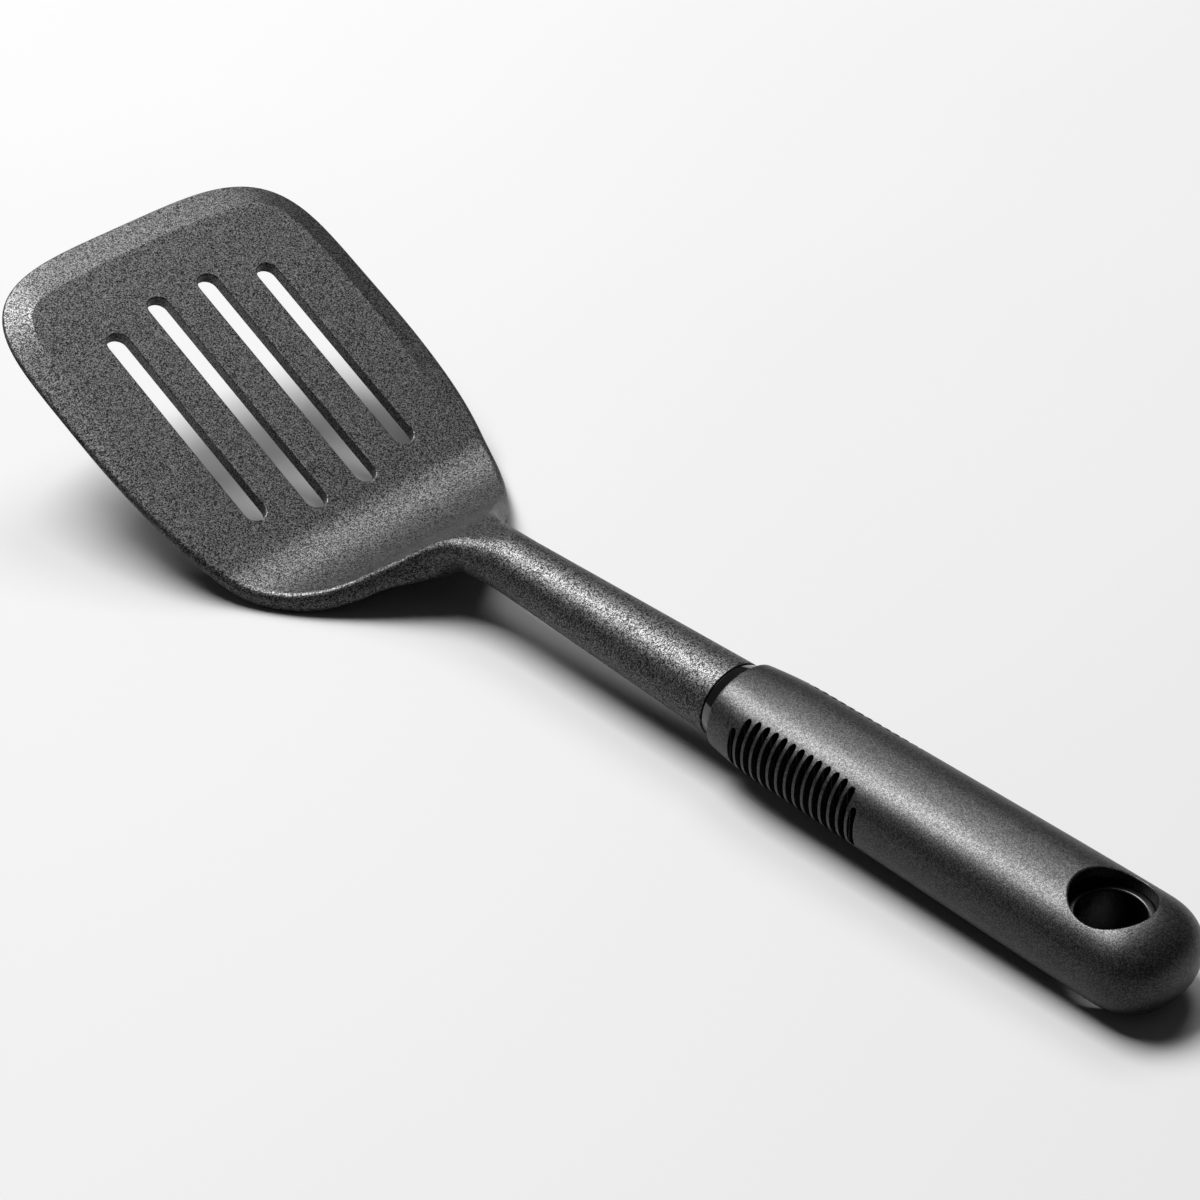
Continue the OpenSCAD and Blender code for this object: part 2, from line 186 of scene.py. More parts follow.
# ---- The two working frames, placed by the record's mounts ----
def frame_at(mount_name, along):
    """Matrix from a working frame in millimetres to the row frame; the mount lies at x = along."""
    mount = next(m for m in frame["record"]["mounts"] if m["name"] == mount_name)
    z = Vector(mount["axis"]).normalized()
    y = Vector((0, 1, 0))
    x = y.cross(z)
    origin = Vector(mount["pos_m"]) - x * along * MM
    turn = Matrix((x, y, z)).transposed().to_4x4()
    return Matrix.Translation(origin) @ turn @ Matrix.Diagonal((MM, MM, MM, 1))


BLADE = frame_at("carry_face", (SLOT_START + SLOT_END) / 2)
HANDLE = frame_at("hang_hole", EYE_X)


# ---- General functions ----
def ramp(x, a, b):
    u = min(1.0, max(0.0, (x - a) / (b - a)))
    return u * u * (3 - 2 * u)


def mix(a, b, t):
    return a + (b - a) * t


def round_in(d, r):
    """Quarter round: 0 at the rim, 1 from the distance r inwards."""
    u = min(1.0, max(0.0, 1 - d / r))
    return math.sqrt(1 - u * u)


def curve_at(table, x):
    """Smooth curve through a list of (x, y) points."""
    def slope(i):
        if i in (0, len(table) - 1):
            return 0.0
        return (table[i + 1][1] - table[i - 1][1]) / (table[i + 1][0] - table[i - 1][0])
    i = max(k for k in range(len(table) - 1) if table[k][0] <= x or k == 0)
    (x0, y0), (x1, y1) = table[i], table[i + 1]
    span = x1 - x0
    t = min(1.0, max(0.0, (x - x0) / span))
    return ((2 * t**3 - 3 * t**2 + 1) * y0 + (t**3 - 2 * t**2 + t) * span * slope(i)
            + (3 * t**2 - 2 * t**3) * y1 + (t**3 - t**2) * span * slope(i + 1))


# ---- Spine of the head ----
FOLD_END = FOLD_X + FOLD_R * WALL_ANG
WALL_DIR = np.array((math.cos(WALL_ANG), math.sin(WALL_ANG)))
SHANK_DIR = np.array((math.cos(CRANK), math.sin(CRANK)))
FOLD_TOP = np.array((FOLD_X + FOLD_R * math.sin(WALL_ANG), MID_Z + FOLD_R * (1 - math.cos(WALL_ANG))))
CORNER = FOLD_TOP + WALL_LEN * WALL_DIR
BEND_RUN = NECK_R * math.tan((WALL_ANG - CRANK) / 2)
WALL_TOP = CORNER - BEND_RUN * WALL_DIR
WALL_END = FOLD_END + WALL_LEN - BEND_RUN
BEND_END = WALL_END + NECK_R * (WALL_ANG - CRANK)
SPINE_END = BEND_END + SHANK_END - BEND_RUN


def spine(s):
    """(x, z, angle) on the middle of the thickness, at distance s from the tip."""
    if s <= FOLD_X:
        return s, MID_Z, 0.0
    if s <= FOLD_END:
        a = (s - FOLD_X) / FOLD_R
        return FOLD_X + FOLD_R * math.sin(a), MID_Z + FOLD_R * (1 - math.cos(a)), a
    if s <= WALL_END:
        p = FOLD_TOP + (s - FOLD_END) * WALL_DIR
        return p[0], p[1], WALL_ANG
    if s <= BEND_END:
        a = WALL_ANG - (s - WALL_END) / NECK_R
        return (WALL_TOP[0] + NECK_R * (math.sin(WALL_ANG) - math.sin(a)),
                WALL_TOP[1] + NECK_R * (math.cos(a) - math.cos(WALL_ANG)), a)
    p = CORNER + (s - BEND_END + BEND_RUN) * SHANK_DIR
    return p[0], p[1], CRANK


def bent(p):
    """A flat-layout point (distance, offset, height) bent into the blade frame."""
    x, z, a = spine(p[0])
    return x - p[2] * math.sin(a), p[1], z + p[2] * math.cos(a)


# ---- Head section, by distance from the tip ----
def half_width(s):
    if s < TUBE_START:
        return curve_at(SIDE_LINE, s)
    u = max(0.0, (s - SPINE_END) / SHANK_END_ROUND + 1)
    return (mix(SHANK_W0, SHANK_W1, (s - TUBE_START) / (SPINE_END - TUBE_START))
            - SHANK_END_ROUND * (1 - math.sqrt(1 - u * u)))


def shank_h(s):
    return SHANK_FLAT * half_width(s)


def top_h(s):
    return mix(PLATE_T / 2, shank_h(s), ramp(s, *NECK_TOP))


def bottom_h(s):
    return mix(mix(PLATE_T / 2, HEEL_T, ramp(s, *HEEL_ZONE)), shank_h(s), ramp(s, *NECK_BOTTOM))


def rim(r, s):
    return mix(mix(r[0], r[1], ramp(s, 0, SIDE_ZONE[0])), r[2], ramp(s, *SIDE_ZONE))


def top_round(s):
    return mix(rim(RIM_TOP, s), half_width(s), ramp(s, *NECK_TOP))


def bottom_round(s):
    return mix(rim(RIM_BOTTOM, s), half_width(s), ramp(s, *NECK_BOTTOM))


def band_at(s, y):
    if s < TIP_LEN:
        return mix(BEVEL_W, BEVEL_SIDE_W, ramp(y, HALF_W / 2, HALF_W))
    return mix(BEVEL_SIDE_W, NECK_BAND, ramp(s, *SIDE_ZONE))


def face_h(s, y, d, side):
    """Height of the top (side 1) or bottom (side -1) face at an inset d from the outline."""
    drop = BEVEL_DROP * (1 - ramp(s, *BEVEL_FADE))
    top = top_h(s) - drop * max(0.0, 1 - d / band_at(s, y))
    bottom = -bottom_h(s)
    middle = (top + bottom) / 2 * (1 - ramp(s, *HEEL_ZONE))
    if side > 0:
        return middle + (top - middle) * round_in(d, top_round(s))
    return middle + (bottom - middle) * round_in(d, bottom_round(s))


# ---- Mesh helpers ----
# Welding distances in metres: when a mesh is made, and after it is kept inside its box
WELD = 1e-7
WELD_CLAMPED = 2e-6
SMOOTH_ANGLE = math.radians(38)
NORMAL_WEIGHT = 80


def new_object(name, points, faces, matrix):
    """A mesh object at the row's origin, from points in a working frame."""
    mesh = bpy.data.meshes.new(name)
    mesh.from_pydata([matrix @ Vector(p) for p in points], [], faces)
    mesh.validate()
    b = bmesh.new()
    b.from_mesh(mesh)
    bmesh.ops.remove_doubles(b, verts=b.verts, dist=WELD)
    bmesh.ops.recalc_face_normals(b, faces=b.faces)
    b.to_mesh(mesh)
    b.free()
    obj = bpy.data.objects.new(name, mesh)
    bpy.context.scene.collection.objects.link(obj)
    return obj


def lofted(name, loops, matrix):
    """A closed solid through loops of equal length."""
    n = len(loops[0])
    points = [p for loop in loops for p in loop]
    faces = [(k * n + i, k * n + (i + 1) % n, (k + 1) * n + (i + 1) % n, (k + 1) * n + i)
             for k in range(len(loops) - 1) for i in range(n)]
    faces += [tuple(range(n)), tuple((len(loops) - 1) * n + i for i in range(n))]
    return new_object(name, points, faces, matrix)


def ringed(name, loops, matrix):
    """A closed ring: the last loop joins the first."""
    n, m = len(loops[0]), len(loops)
    points = [p for loop in loops for p in loop]
    faces = [(k * n + i, k * n + (i + 1) % n, (k + 1) % m * n + (i + 1) % n, (k + 1) % m * n + i)
             for k in range(m) for i in range(n)]
    return new_object(name, points, faces, matrix)


def combined(obj, others, operation):
    """Cuts the others from obj, or joins them to it, and removes them."""
    group = bpy.data.collections.new("cutters")
    for other in others:
        bpy.context.scene.collection.objects.unlink(other)
        group.objects.link(other)
    modifier = obj.modifiers.new("solid", "BOOLEAN")
    modifier.operand_type = "COLLECTION"
    modifier.collection = group
    modifier.operation = operation
    modifier.solver = "MANIFOLD"
    bpy.context.view_layer.update()
    evaluated = obj.evaluated_get(bpy.context.evaluated_depsgraph_get())
    mesh = bpy.data.meshes.new_from_object(evaluated)
    obj.modifiers.clear()
    old, obj.data = obj.data, mesh
    bpy.data.meshes.remove(old)
    mesh.name = obj.name
    for other in others:
        bpy.data.objects.remove(other)
    bpy.data.collections.remove(group)
    return obj


def smoothed(obj, node):
    """Kept inside its CAD node's box, welded, and shaded smooth except at sharp edges."""
    low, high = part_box(node)
    b = bmesh.new()
    b.from_mesh(obj.data)
    for v in b.verts:
        v.co = Vector(min(max(c, lo), hi) for c, lo, hi in zip(v.co, low, high))
    bmesh.ops.remove_doubles(b, verts=b.verts, dist=WELD_CLAMPED)
    b.to_mesh(obj.data)
    b.free()
    obj.data.shade_smooth()
    obj.data.set_sharp_from_angle(angle=SMOOTH_ANGLE)
    weighted = obj.modifiers.new("weighted", "WEIGHTED_NORMAL")
    weighted.keep_sharp = True
    weighted.weight = NORMAL_WEIGHT
    return obj


def fillet(r, n=5):
    """(depth, offset) steps of a quarter round at the mouth of a cut."""
    turns = [math.pi / 2 * k / n for k in range(n + 1)]
    return [(r * (1 - math.cos(t)), r * (1 - math.sin(t))) for t in turns]


def stadium(half, r, n=16):
    """A slot's outline about its middle: straight sides of length 2 half, and round ends."""
    ends = [(half, -math.pi / 2), (-half, math.pi / 2)]
    return [(c + r * math.cos(a0 + math.pi * k / n), r * math.sin(a0 + math.pi * k / n))
            for c, a0 in ends for k in range(n + 1)]


# ---- Head ----
def head_stations():
    """(distance from the tip, half width) of each section, from the tip to the shank's end."""
    def steps(a, b, n):
        return [mix(a, b, k / n) for k in range(n)]

    tip_steps, end_steps = 44, 6
    out = []
    for k in range(tip_steps):
        a = math.pi / 2 * k / tip_steps
        r = (math.cos(a) ** TIP_POWER + math.sin(a) ** TIP_POWER) ** (-1 / TIP_POWER)
        out.append((TIP_LEN * (1 - r * math.cos(a)), HALF_W * r * math.sin(a)))
    distances = (steps(TIP_LEN, FOLD_X, 30) + steps(FOLD_X, FOLD_END, 34)
                 + steps(FOLD_END, TUBE_START, 44) + steps(TUBE_START, SPINE_END - SHANK_END_ROUND, 24)
                 + [SPINE_END + SHANK_END_ROUND * (math.sin(math.pi / 2 * k / end_steps) - 1)
                    for k in range(end_steps + 1)])
    return out + [(s, half_width(s)) for s in distances]


def build_head():
    """The blade, neck and shank as one skin of rings round the rim and rows across the faces."""
    stations = head_stations()
    last = len(stations) - 1
    # Rows across the faces start at this station: nearer the tip they would almost coincide
    first = 8
    cells = 22
    # Rings round the rim: (share of the bevel, edge angle, shank angle, side)
    keys, angles = (0, 0.15, 0.4, 0.7, 1, 1.03), (22.5, 31, 41, 52, 62, 64)
    shares = (1.03, 1, 0.97, 0.85, 0.7, 0.55, 0.4, 0.27, 0.15, 0.06)
    rings = [(f, 90, np.interp(f, keys, angles), 1) for f in shares]
    rings += [(0, a, a / 4, 1) for a in range(90, -1, -10)]
    rings += [(0, a, a / 4, -1) for a in range(10, 91, 10)]
    rings += [(f, 90, np.interp(f, keys, angles), -1) for f in (0.2, 0.45, 0.7, 1)]

    def inward(i):
        if i == 0:
            return np.array((1.0, 0.0))
        d = (1.0, 0.0) if i == last else np.subtract(stations[i + 1], stations[i - 1])
        n = np.array((d[1], -d[0])) / np.hypot(*d)
        v = mix(n, np.array((0.0, -1.0)), ramp(stations[i][0], *SIDE_ZONE))
        return v / np.hypot(*v)

    def ring_point(i, ring):
        s, y = stations[i]
        share, edge, shank, side = ring
        r = top_round(s) if side > 0 else bottom_round(s)
        flat = mix(r * (1 - math.cos(math.radians(edge))), band_at(s, y), share)
        round_shank = half_width(s) * (1 - math.cos(math.radians(shank)))
        d = mix(flat, round_shank, ramp(s, NECK_BOTTOM[0], TUBE_START))
        p = np.array((s, y)) + inward(i) * d
        return p[0], p[1], face_h(s, y, d, side)

    def row_point(i, ring, j):
        s, width = stations[i]
        p = ring_point(i, ring)
        y = p[1] * (1 - j / cells)
        d = max(width - y, 0.0)
        if ring[3] > 0:
            return p[0], y, top_h(s) * round_in(d, top_round(s))
        return p[0], y, -bottom_h(s) * round_in(d, bottom_round(s))

    def flip(p, side):
        return p[0], side * p[1], p[2]

    def sign(k):
        return (k > 0) - (k < 0)

    n = len(rings)
    points = [flip(bent(ring_point(abs(a), ring)), sign(a))
              for a in range(-last, last + 1) for ring in rings]
    row_start = len(points)
    row_n = 2 * cells - 1
    row_count = last - first + 1
    for ring in (rings[0], rings[-1]):
        for i in range(first, last + 1):
            for j in range(1, 2 * cells):
                q = min(j, 2 * cells - j)
                points.append(flip(bent(row_point(i, ring, q)), sign(j - cells)))

    def at_ring(a, k):
        return (a + last) * n + k

    def at_row(face, i, j):
        if j == 0:
            return at_ring(-i, face * (n - 1))
        if j == 2 * cells:
            return at_ring(i, face * (n - 1))
        return row_start + (face * row_count + i - first) * row_n + j - 1

    faces = [(at_ring(a, k), at_ring(a, k + 1), at_ring(a + 1, k + 1), at_ring(a + 1, k))
             for a in range(-last, last) for k in range(n - 1)]
    for face in (0, 1):
        faces.append([at_ring(a, face * (n - 1)) for a in range(-first, first + 1)]
                     + [at_row(face, first, j) for j in range(2 * cells - 1, 0, -1)])
        faces += [(at_row(face, i, j), at_row(face, i, j + 1),
                   at_row(face, i + 1, j + 1), at_row(face, i + 1, j))
                  for i in range(first, last) for j in range(2 * cells)]
    faces.append([at_row(0, last, j) for j in range(2 * cells + 1)]
                 + [at_ring(last, k) for k in range(1, n - 1)]
                 + [at_row(1, last, j) for j in range(2 * cells, -1, -1)]
                 + [at_ring(-last, k) for k in range(n - 2, 0, -1)])
    head = new_object("head", points, faces, BLADE)
    combined(head, [tang()], "UNION")
    ends = (-PIN_HOLE_REACH, PIN_HOLE_REACH)
    pins = [lofted("pin_hole", [circle(x, 0, PIN_R + FIT_GAP, z, 32) for z in ends], HANDLE)
            for x in PIN_XS]
    return combined(head, [slot(*s) for s in slot_places()] + pins, "DIFFERENCE")


def circle(x, y, r, z, n):
    return [(x + r * math.cos(2 * math.pi * k / n), y + r * math.sin(2 * math.pi * k / n), z)
            for k in range(n)]


def tang():
    """Round root and square bar that the core holds."""
    corner_steps, spigot_points = 4, 48
    spigot_lead, tip_lead = 0.5, 1.0

    def square(x, half_w, half_h):
        return [(x, sy * (half_w - TANG_CORNER) + TANG_CORNER * math.cos(a),
                 sz * (half_h - TANG_CORNER) + TANG_CORNER * math.sin(a))
                for sy, sz, a0 in ((1, 1, 0), (-1, 1, math.pi / 2), (-1, -1, math.pi),
                                   (1, -1, 1.5 * math.pi))
                for a in [a0 + math.pi / 2 * k / corner_steps for k in range(corner_steps + 1)]]

    def ring(x, r):
        return [(x, r * math.cos(a), r * math.sin(a))
                for a in np.arange(spigot_points) * 2 * math.pi / spigot_points]

    root = SHANK_END - SPIGOT_ROOT
    end = COLLAR_END + TANG_LEN
    spigot = lofted("spigot", [ring(root, SPIGOT_R),
                               ring(root + SPIGOT_LEN - spigot_lead, SPIGOT_R),
                               ring(root + SPIGOT_LEN, SPIGOT_R - spigot_lead)], HANDLE)
    bar = lofted("bar", [square(COLLAR_END, TANG_W, TANG_H),
                         square(end - tip_lead, TANG_W, TANG_H),
                         square(end, TANG_W - tip_lead, TANG_H - tip_lead)], HANDLE)
    return combined(spigot, [bar], "UNION")


def slot_places():
    """(start, end, middle) of each slot."""
    for side in (-1, 1):
        yield SLOT_START, SLOT_END, side * SLOT_PITCH / 2
        yield SLOT_START + SLOT_INSET, SLOT_END - SLOT_INSET, side * SLOT_PITCH * 1.5


def slot(start, end, y):
    """A slot's cutter, whose mouths open out to round the edges of the cut."""
    r = SLOT_W / 2
    steps = fillet(SLOT_ROUND)
    levels = [(SLOT_OVERCUT, steps[0][1])] + [(-d, e) for d, e in steps]
    levels += [(-PLATE_T - z, e) for z, e in reversed(levels)]
    half, middle = (end - start) / 2 - r, (start + end) / 2
    return lofted("slot", [[(middle + px, y + py, z) for px, py in stadium(half, r + e)]
                           for z, e in levels], BLADE)


# ---- Grip ----
def grown(x, sizes):
    """A half width or half height of the grip before its end is rounded off."""
    u = min(1.0, max(0.0, 1 - (x - COLLAR_END) / FLARE_LEN))
    return (mix(sizes[0], sizes[1], 1 - u * u)
            + (sizes[2] - sizes[1]) * ramp(x, COLLAR_END, EYE_X + EYE_R))


def cap(x, end):
    """Share of its full size that a section keeps where the grip's end is rounded off."""
    u = min(1.0, max(0.0, (x - end + CAP_LEN) / CAP_LEN))
    return (1 - u**CAP_POWER) ** (1 / CAP_POWER)


def grip_loop(x, end, inset, n, shape_x=None):
    """One section of the grip at x, a superellipse set in by inset."""
    at = x if shape_x is None else shape_x
    w, h = (grown(at, GRIP_W) - inset) * cap(at, end), (grown(at, GRIP_H) - inset) * cap(at, end)
    out = []
    for k in range(n):
        a = 2 * math.pi * k / n
        r = (abs(math.cos(a)) ** GRIP_POWER + abs(math.sin(a)) ** GRIP_POWER) ** (-1 / GRIP_POWER)
        out.append((x, w * r * math.cos(a), h * r * math.sin(a)))
    return out


def grip_solid(name, lead, end, inset, front_round, n, body_n):
    """The grip's shape, with a rounded front edge or with a lead in front of it."""
    loops = []
    if lead:
        loops.append(grip_loop(COLLAR_END - lead, end, inset, n, COLLAR_END))
    if front_round:
        loops += [grip_loop(COLLAR_END + depth, end, inset + offset, n)
                  for depth, offset in fillet(front_round)[:-1]]
    body0 = COLLAR_END + front_round
    xs = [mix(body0, end - CAP_LEN, k / body_n) for k in range(body_n)]
    cap_n = 24
    xs += [end - CAP_LEN + CAP_LEN * math.sin(CAP_TURN * k / cap_n) for k in range(cap_n + 1)]
    loops += [grip_loop(x, end, inset, n) for x in xs]
    return lofted(name, loops, HANDLE)


def side_y(x, z):
    """Half width of the grip's surface at a height z."""
    share = min(1.0, abs(z) / grown(x, GRIP_H))
    return grown(x, GRIP_W) * (1 - share**GRIP_POWER) ** (1 / GRIP_POWER)


def top_z(x, y):
    """Half height of the grip's surface at a distance y from its middle."""
    c = cap(x, GRIP_END)
    share = min(1.0, abs(y) / (c * grown(x, GRIP_W)))
    return c * grown(x, GRIP_H) * (1 - share**GRIP_POWER) ** (1 / GRIP_POWER)


def groove(i, side):
    """One groove's cutter. Its mouth opens out along the grip's curved surface."""
    x0 = GROOVE_X0 + i * GROOVE_PITCH
    u = abs(2 * i / (GROOVE_COUNT - 1) - 1)
    half = GROOVE_HALF * mix(GROOVE_END, 1, math.sqrt(1 - u**GROOVE_POWER))
    r = GROOVE_W / 2
    steps = fillet(GROOVE_ROUND, 3)

    def outline(wider):
        return [(x0 - py, px) for px, py in stadium(half - r, r + wider, 10)]

    loops = [[(x, side * (grown(x0, GRIP_W) + GRIP_OVERCUT), z) for x, z in outline(steps[0][1])]]
    for depth, wider in steps:
        loops.append([(x, side * (side_y(x, z) - depth), z) for x, z in outline(wider)])
    loops.append([(x, side * GROOVE_Y, z) for x, z in outline(0)])
    return lofted("groove", loops, HANDLE)


def eye_cutter():
    """The hanging hole's cutter, with mouths that open out along the grip's curved surface."""
    steps = fillet(EYE_ROUND)
    n = 128
    loops = [circle(EYE_X, 0, EYE_R + steps[0][1], grown(EYE_X, GRIP_H) + GRIP_OVERCUT, n)]
    for depth, e in steps:
        loops.append([(x, y, top_z(x, y) - depth) for x, y, _ in circle(EYE_X, 0, EYE_R + e, 0, n)])
    loops += [[(x, y, -z) for x, y, z in loop] for loop in reversed(loops)]
    return lofted("eye", loops, HANDLE)


def build_grip():
    """The soft sleeve: hollow for the core, with its hanging hole and its grooves."""
    grip = grip_solid("grip", lead=0, end=GRIP_END, inset=0, front_round=GRIP_FRONT_ROUND,
                      n=144, body_n=150)
    cavity = grip_solid("cavity", lead=1, end=GRIP_END - CORE_BACK, inset=SLEEVE_T, front_round=0,
                        n=72, body_n=60)
    combined(grip, [cavity, eye_cutter()], "DIFFERENCE")
    cutters = [groove(i, side) for side in (-1, 1) for i in range(GROOVE_COUNT)]
    return combined(grip, cutters, "DIFFERENCE")


# ---- Collar and bush ----
def build_collar():
    """A shallow cone between the shank's end and the grip, with rounded edges."""
    n, edge_steps = 144, 4
    front = (SHANK_W1 - COLLAR_IN, SHANK_FLAT * SHANK_W1 - COLLAR_IN)
    back = (GRIP_W[0] - COLLAR_IN, GRIP_H[0] - COLLAR_IN)
    rings = [(COLLAR_ROUND * (1 - math.sin(t)), COLLAR_ROUND * (1 - math.cos(t)))
             for t in np.linspace(0, math.pi / 2, edge_steps + 1)][::-1]
    rings += [(COLLAR_LEN - x, inset) for x, inset in reversed(rings)]
    loops = []
    for x, inset in rings:
        w, h = (mix(f, b, x / COLLAR_LEN) - inset for f, b in zip(front, back))
        loops.append([(SHANK_END + x, w * math.cos(a), h * math.sin(a))
                      for a in np.arange(n) * 2 * math.pi / n])
    bore = SPIGOT_R + FIT_GAP
    for x in (COLLAR_LEN, 0):
        loops.append([(SHANK_END + x, bore * math.cos(a), bore * math.sin(a))
                      for a in np.arange(n) * 2 * math.pi / n])
    return ringed("collar", loops, HANDLE)


def build_bush():
    """The ring part way down the hanging hole, with rounded edges."""
    half = GRIP_H[2] - BUSH_DEPTH
    outer = EYE_R - FIT_GAP
    n = 5
    turns = [math.pi / 2 * k / n for k in range(n + 1)]
    profile = [(BUSH_R + BUSH_TOP_ROUND * (1 - math.cos(t)),
                half - BUSH_TOP_ROUND * (1 - math.sin(t))) for t in turns]
    profile += [(outer - BUSH_SIDE_ROUND * (1 - math.sin(t)),
                 half - BUSH_SIDE_ROUND * (1 - math.cos(t))) for t in turns]
    profile += [(r, -z) for r, z in reversed(profile)]
    return ringed("eye_bush", [circle(EYE_X, 0, r, z, 128) for r, z in profile], HANDLE)


# ---- Materials ----
class Graph:
    """A material's node tree, with short calls for the nodes it uses."""

    def __init__(self, name, **sockets):
        self.material = bpy.data.materials.new(name)
        self.material.use_nodes = True
        self.tree = self.material.node_tree
        self.shader = self.tree.nodes["Principled BSDF"]
        self.where = self.node("ShaderNodeTexCoord").outputs["Object"]
        for key, value in sockets.items():
            self.shader.inputs[key.replace("_", " ")].default_value = value

    def node(self, kind, **values):
        made = self.tree.nodes.new(kind)
        for key, value in values.items():
            setattr(made, key, value)
        return made

    def link(self, a, b):
        self.tree.links.new(a, b)

    def noise(self, scale, detail=2.0, roughness=0.5, stretch=None):
        n = self.node("ShaderNodeTexNoise")
        n.inputs["Scale"].default_value = scale
        n.inputs["Detail"].default_value = detail
        n.inputs["Roughness"].default_value = roughness
        source = self.where
        if stretch:
            mapping = self.node("ShaderNodeMapping")
            mapping.inputs["Scale"].default_value = stretch
            self.link(source, mapping.inputs["Vector"])
            source = mapping.outputs["Vector"]
        self.link(source, n.inputs["Vector"])
        return n.outputs["Fac"]

    def grains(self, scale):
        """A random value on each grain of the surface."""
        v = self.node("ShaderNodeTexVoronoi", feature="F1")
        v.inputs["Scale"].default_value = scale
        self.link(self.where, v.inputs["Vector"])
        return v.outputs["Color"]

    def ramp(self, fac, stops):
        r = self.node("ShaderNodeValToRGB")
        elements = r.color_ramp.elements
        while len(elements) < len(stops):
            elements.new(0.5)
        for element, (position, colour) in zip(elements, stops):
            element.position = position
            value = colour if isinstance(colour, tuple) else (colour, colour, colour)
            element.color = (*value, 1)
        self.link(fac, r.inputs["Fac"])
        return r.outputs["Color"]

    def multiply(self, a, b):
        m = self.node("ShaderNodeMix", data_type="RGBA", blend_type="MULTIPLY")
        m.inputs["Factor"].default_value = 1
        self.link(a, m.inputs["A"])
        self.link(b, m.inputs["B"])
        return m.outputs["Result"]

    def vary(self, socket, fac, low, high, ends=(0.3, 0.7)):
        """Drives one of the shader's sockets from low to high."""
        r = self.node("ShaderNodeMapRange")
        for key, value in zip(("From Min", "From Max", "To Min", "To Max"), (*ends, low, high)):
            r.inputs[key].default_value = value
        self.link(fac, r.inputs["Value"])
        self.link(r.outputs["Result"], self.shader.inputs[socket])

    def bump(self, *layers):
        """Each layer is (height, depth in metres)."""
        normal = None
        for height, depth in layers:
            b = self.node("ShaderNodeBump")
            b.inputs["Distance"].default_value = depth
            self.link(height, b.inputs["Height"])
            if normal:
                self.link(normal, b.inputs["Normal"])
            normal = b.outputs["Normal"]
        self.link(normal, self.shader.inputs["Normal"])

    def colour(self, output):
        self.link(output, self.shader.inputs["Base Color"])


def textured_plastic(name, grain, base, gloss, rough, depth):
    """Matt black plastic with a spark-eroded grain: each grain has its own shine.

    Most grains are dull, and a few reach the upper end of gloss.
    """
    g = Graph(name)
    grains = g.grains(grain)
    fine = g.noise(grain * 0.6, 2.0, 0.55)
    slow = g.noise(26, 2.0, 0.5)
    speckled = g.ramp(grains, [(0.25, base * 0.3), (0.5, base), (0.8, base * 3)])
    g.colour(g.multiply(speckled, g.ramp(slow, [(0.3, 0.85), (0.7, 1.0)])))
    g.vary("Specular IOR Level", grains, *gloss, ends=(0.35, 0.9))
    g.vary("Roughness", slow, rough - 0.02, rough + 0.02)
    g.bump((g.noise(grain * 0.2, 2.0, 0.5), depth), (fine, depth))
    return g.material


def glossy_plastic(name, base, level, rough):
    """Smooth black plastic; level is its specular level."""
    g = Graph(name, Specular_IOR_Level=level)
    g.colour(g.ramp(g.noise(90, 3.0, 0.5), [(0.3, base * 0.7), (0.7, base * 1.3)]))
    g.vary("Roughness", g.noise(700, 4.0, 0.6), rough, rough + 0.07)
    g.bump((g.noise(160, 2.0, 0.4), 1.2e-5))
    return g.material


def ground_steel(name):
    """Steel with fine marks along the pins."""
    g = Graph(name, Metallic=1.0)
    grain = g.noise(900, 3.0, 0.6, stretch=(1, 1, 0.05))
    g.colour(g.ramp(grain, [(0.3, (0.42, 0.42, 0.44)), (0.7, (0.6, 0.6, 0.61))]))
    g.vary("Roughness", grain, 0.28, 0.4)
    g.bump((grain, 4e-6))
    return g.material


head_material = textured_plastic("head_nylon", grain=4600, base=0.008, gloss=(0.08, 1.15),
                                 rough=0.44, depth=3.2e-5)
grip_material = textured_plastic("grip_rubber", grain=5600, base=0.005, gloss=(0.2, 0.6),
                                 rough=0.4, depth=1.4e-5)
core_material = textured_plastic("core_plastic", grain=2600, base=0.002, gloss=(0.05, 0.15),
                                 rough=0.6, depth=1e-5)
collar_material = glossy_plastic("collar_gloss", base=0.001, level=0.6, rough=0.06)
eye_material = glossy_plastic("eye_plastic", base=0.001, level=0.25, rough=0.25)
pin_material = ground_steel("pin_steel")

# ---- The pieces ----
PIECES = [
    (build_head, "head_moulding", "head_nylon", head_material),
    (build_grip, "grip_sleeve", "grip_rubber", grip_material),
    (build_collar, "collar_ring", "collar_gloss", collar_material),
    (build_bush, "hang_eye_bush", "eye_plastic", eye_material),
]
for build, node, slot_name, material in PIECES:
    piece = smoothed(build(), node)
    piece.data.materials.clear()
    piece.data.materials.append(material)
    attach(piece, "root")
    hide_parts(node)

for node, material in (("handle_core", core_material), ("tang_pins", pin_material)):
    for material_slot in frame["nodes"][node].material_slots:
        material_slot.material = material

# ---- Floor, light and camera ----
centre = (cad_low + cad_high) / 2


def floor():
    """A wide pale sheet that curves up far behind the object."""
    half, flat, rise, n = 6.0, 3.5, 2.5, 12
    turns = [math.pi / 2 * k / n for k in range(1, n + 1)]
    ys = [-half, flat] + [flat + rise * math.sin(t) for t in turns]
    zs = [0.0, 0.0] + [rise * (1 - math.cos(t)) for t in turns]
    points = [(x, y, z) for y, z in zip(ys, zs) for x in (-half, half)]
    faces = [(2 * k, 2 * k + 1, 2 * k + 3, 2 * k + 2) for k in range(len(ys) - 1)]
    sheet = new_object("floor", points, faces, Matrix.Identity(4))
    for polygon in sheet.data.polygons:
        polygon.use_smooth = True
    g = Graph("floor", Roughness=0.8)
    g.colour(g.ramp(g.noise(3, 2, 0.5), [(0.2, 0.29), (0.8, 0.305)]))
    sheet.data.materials.append(g.material)


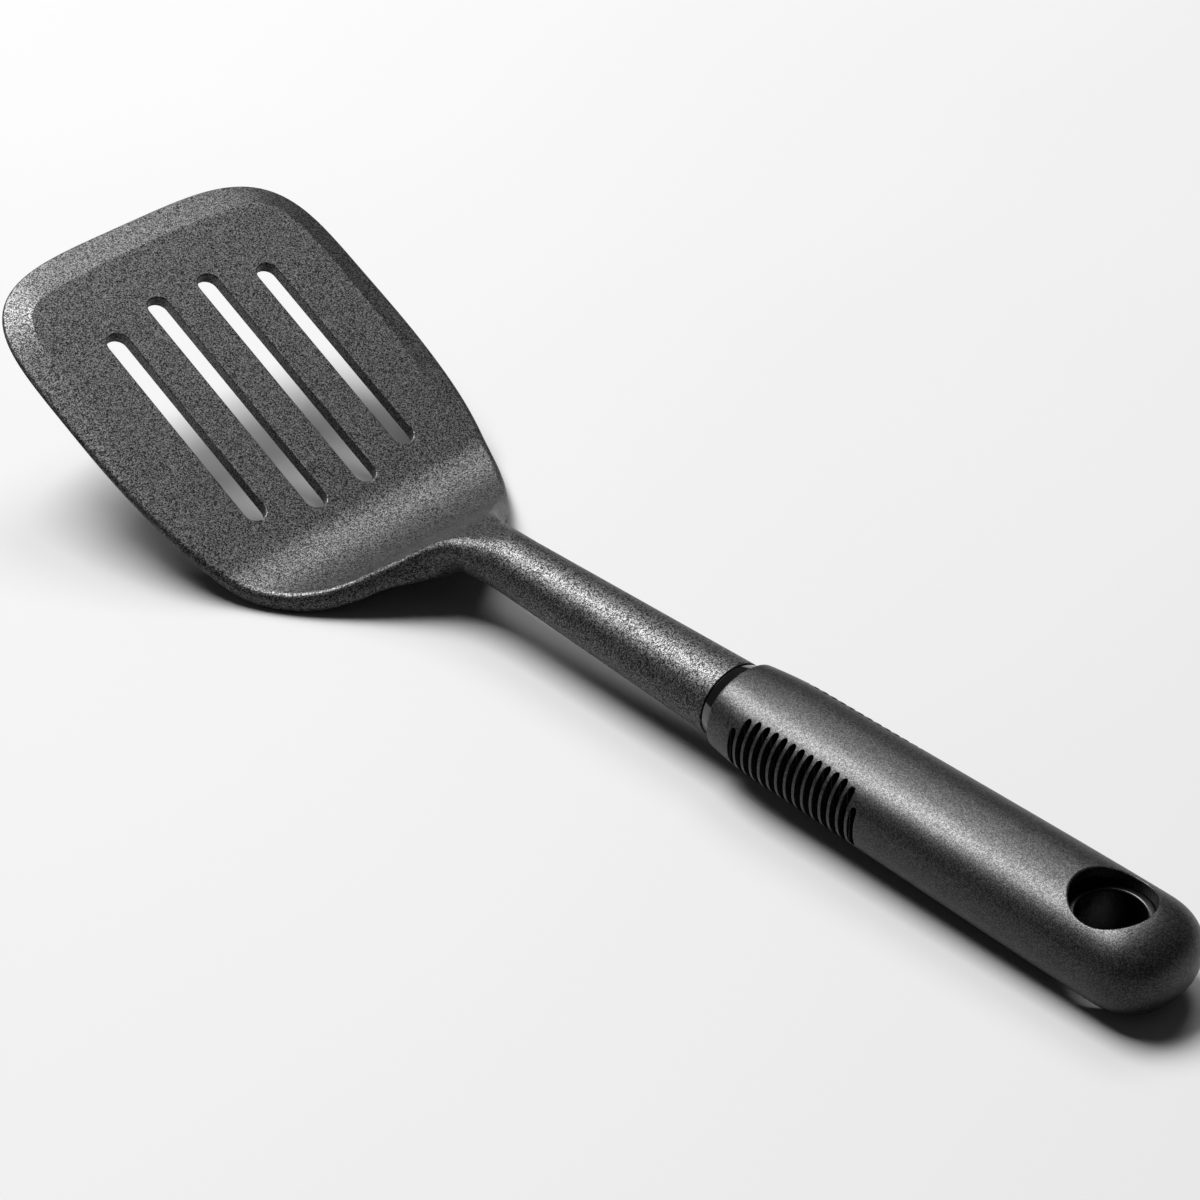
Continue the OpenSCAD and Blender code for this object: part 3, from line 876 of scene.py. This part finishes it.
def softbox(name, direction, distance, width, depth, radiance):
    """An area light that faces the middle of the object, in metres."""
    data = bpy.data.lights.new(name, "AREA")
    data.shape, data.size, data.size_y = "RECTANGLE", width, depth
    data.energy = radiance * math.pi * width * depth
    light = bpy.data.objects.new(name, data)
    bpy.context.scene.collection.objects.link(light)
    away = Vector(direction).normalized()
    light.location = centre + away * distance
    light.rotation_euler = away.to_track_quat("Z", "Y").to_euler()


floor()
softbox("key", direction=(-0.48, -0.05, 0.875), distance=3.2, width=1.62, depth=1.62,
        radiance=34.0)
softbox("fill", direction=(-0.3, 0.46, 0.84), distance=4.0, width=1.7, depth=1.7, radiance=9.5)

WORLD_STRENGTH = 0.08
world = bpy.data.worlds.new("studio")
world.use_nodes = True
background = world.node_tree.nodes["Background"]
background.inputs["Color"].default_value = (1, 1, 1, 1)
background.inputs["Strength"].default_value = WORLD_STRENGTH
bpy.context.scene.world = world
bpy.context.scene.view_settings.view_transform = "Standard"

# The camera stands past the handle's end, on the -y side, and looks at about the middle of the
# object; distance is in metres, and lens and sensor are in millimetres
CAMERA_AZIMUTH = math.radians(-42.89)
CAMERA_ELEVATION = math.radians(35.37)
CAMERA_ROLL = math.radians(-1.87)
CAMERA_DISTANCE = 0.729
CAMERA_LENS = 103.7
SENSOR_WIDTH = 36
AIM_OFFSET = Vector((3.1, -0.5, -3.7))
AIM = centre + AIM_OFFSET * MM
camera_data = bpy.data.cameras.new("camera")
camera_data.sensor_width = SENSOR_WIDTH
camera_data.lens = CAMERA_LENS
camera = bpy.data.objects.new("camera", camera_data)
bpy.context.scene.collection.objects.link(camera)
away = Vector((math.cos(CAMERA_AZIMUTH) * math.cos(CAMERA_ELEVATION),
               math.sin(CAMERA_AZIMUTH) * math.cos(CAMERA_ELEVATION),
               math.sin(CAMERA_ELEVATION)))
camera.matrix_world = (Matrix.Translation(AIM + away * CAMERA_DISTANCE)
                       @ away.to_track_quat("Z", "Y").to_matrix().to_4x4()
                       @ Matrix.Rotation(CAMERA_ROLL, 4, "Z"))
bpy.context.scene.camera = camera

bpy.context.view_layer.update()
